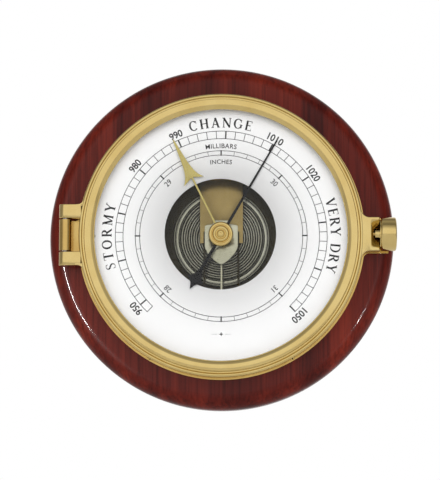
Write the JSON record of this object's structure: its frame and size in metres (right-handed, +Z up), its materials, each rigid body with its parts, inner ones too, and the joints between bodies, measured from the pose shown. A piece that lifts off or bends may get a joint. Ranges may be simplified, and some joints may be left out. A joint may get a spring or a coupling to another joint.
{
  "type": "aneroid barometer",
  "caption": "Wall barometer in a hinged brass porthole case on a round mahogany board, with an open white dial, a black pressure hand and a brass set hand.",
  "frame": {"origin": "on the dial's axis, in the plane of the board's back, which lies on the wall", "axes": "+Y into the wall, +Z up, +X to the right as the dial is read; the dial faces -Y"},
  "size_m": [0.2109, 0.0426, 0.21],
  "materials": {
    "wood": "deep red-brown mahogany, satin lacquer",
    "case_brass": "polished and lacquered",
    "movement_brass": "brushed",
    "bronzed": "dark bronzed",
    "steel": "brushed",
    "nickel": "satin nickel plate",
    "capsule_metal": "bright drawn sheet",
    "glass": "clear flat",
    "gasket": "matt",
    "bush": "matt",
    "dial_white": "matt white with black print",
    "dial_ring_metal": "satin",
    "spring_blue": "blued",
    "hand_black": "satin black"
  },
  "bodies": {
    "case": {"mount_board": "wood", "hanger_plate": "steel", "hanger_screws": "steel", "case_cup": "case_brass", "case_flange": "case_brass", "flange_screws": "case_brass", "latch_post": "case_brass", "hinge_pin": "steel", "dial_plate": "dial_white", "dial_ring": "dial_ring_metal", "dial_screws": "nickel", "movement_base": "bronzed", "base_spacers": "movement_brass", "movement_screws": "steel", "capsule_lower": "capsule_metal", "capsule_upper": "capsule_metal", "spring_bracket": "movement_brass", "spring_clamp": "movement_brass", "clamp_screws": "steel", "leaf_spring": "movement_brass", "rocker_bearings": "movement_brass", "arbor_cock": "movement_brass", "cock_pillars": "movement_brass", "cock_screws": "steel", "bridge_plate": "nickel", "bridge_pillars": "movement_brass", "bridge_screws": "steel", "hairspring": "spring_blue", "hairspring_stud": "movement_brass"},
    "bezel": {"bezel_ring": "case_brass", "window_glass": "glass", "glass_gasket": "gasket", "retaining_ring": "case_brass", "glass_bush": "bush"},
    "clamp_slider": {"clamp_washer": "case_brass"},
    "clamp_screw": {"thumb_screw": "case_brass"},
    "setter": {"set_knob": "case_brass", "set_washer": "case_brass", "set_hand": "case_brass", "set_nut": "case_brass"},
    "pointer": {"pointer_arbor": "steel", "hairspring_collet": "movement_brass", "pressure_hand": "hand_black"},
    "rocker": {"rocker_shaft": "steel"},
    "chain": {"pull_chain": "steel"},
    "link": {"link_rod": "steel"},
    "lever": {"lever_arm": "nickel", "lever_screws": "steel"},
    "capsule_head": {"capsule_post": "movement_brass", "post_pin": "steel"},
    "adjuster": {"adjusting_screw": "movement_brass"}
  },
  "joints": [
    {"name": "bezel_hinge", "type": "hinge", "parent": "case", "child": "bezel", "pos_m": [-0.0939, -0.0315, 0], "axis": [0, 0, -1], "range_deg": [0, 170]},
    {"name": "screw_travel", "type": "slide", "parent": "bezel", "child": "clamp_slider", "axis": [1, 0, 0], "range_m": [0, 0.003]},
    {"name": "screw_turn", "type": "hinge", "parent": "clamp_slider", "child": "clamp_screw", "pos_m": [0.1, -0.0325, 0], "axis": [1, 0, 0], "range_deg": [0, 1350]},
    {"name": "set_hand_turn", "type": "hinge", "parent": "bezel", "child": "setter", "pos_m": [0, -0.034, 0], "axis": [0, -1, 0], "continuous": true},
    {"name": "pressure_turn", "type": "hinge", "parent": "case", "child": "pointer", "pos_m": [0, -0.0282, 0], "axis": [0, -1, 0], "range_deg": [-105.4, 165.9], "stiffness_Nm_per_rad": 0.0002, "deforming": ["hairspring"]},
    {"name": "rocker_turn", "type": "hinge", "parent": "case", "child": "rocker", "pos_m": [0, -0.0109, -0.033], "axis": [-1, 0, 0], "range_deg": [-14.02, 22.07]},
    {"name": "chain_pull", "type": "slide", "parent": "case", "child": "chain", "axis": [0, 0, 1], "range_m": [-0.00225, 0.00354]},
    {"name": "link_lift", "type": "slide", "parent": "case", "child": "link", "axis": [0, -1, 0], "range_m": [-0.00049, 0.00077]},
    {"name": "lever_lift", "type": "hinge", "parent": "case", "child": "lever", "pos_m": [0, -0.01697, 0.0364], "axis": [-1, 0, 0], "range_deg": [-0.39, 0.62], "deforming": ["leaf_spring"]},
    {"name": "capsule_lift", "type": "slide", "parent": "case", "child": "capsule_head", "axis": [0, -1, 0], "range_m": [-0.00024954, 0.00039278], "deforming": ["capsule_upper"]},
    {"name": "adjuster_turn", "type": "hinge", "parent": "case", "child": "adjuster", "pos_m": [0, -0.003, 0], "axis": [0, 1, 0], "range_deg": [-90, 90]}
  ],
  "couplings": [
    {"joint": "screw_turn", "follows": "screw_travel", "rad_per_m": 7854},
    {"joint": "rocker_turn", "follows": "pressure_turn", "ratio": 0.13043},
    {"joint": "chain_pull", "follows": "pressure_turn", "m_per_rad": 0.0012},
    {"joint": "link_lift", "follows": "pressure_turn", "m_per_rad": 0.00026087},
    {"joint": "lever_lift", "follows": "pressure_turn", "ratio": 0.0036536},
    {"joint": "capsule_lift", "follows": "pressure_turn", "m_per_rad": 0.00013299}
  ]
}
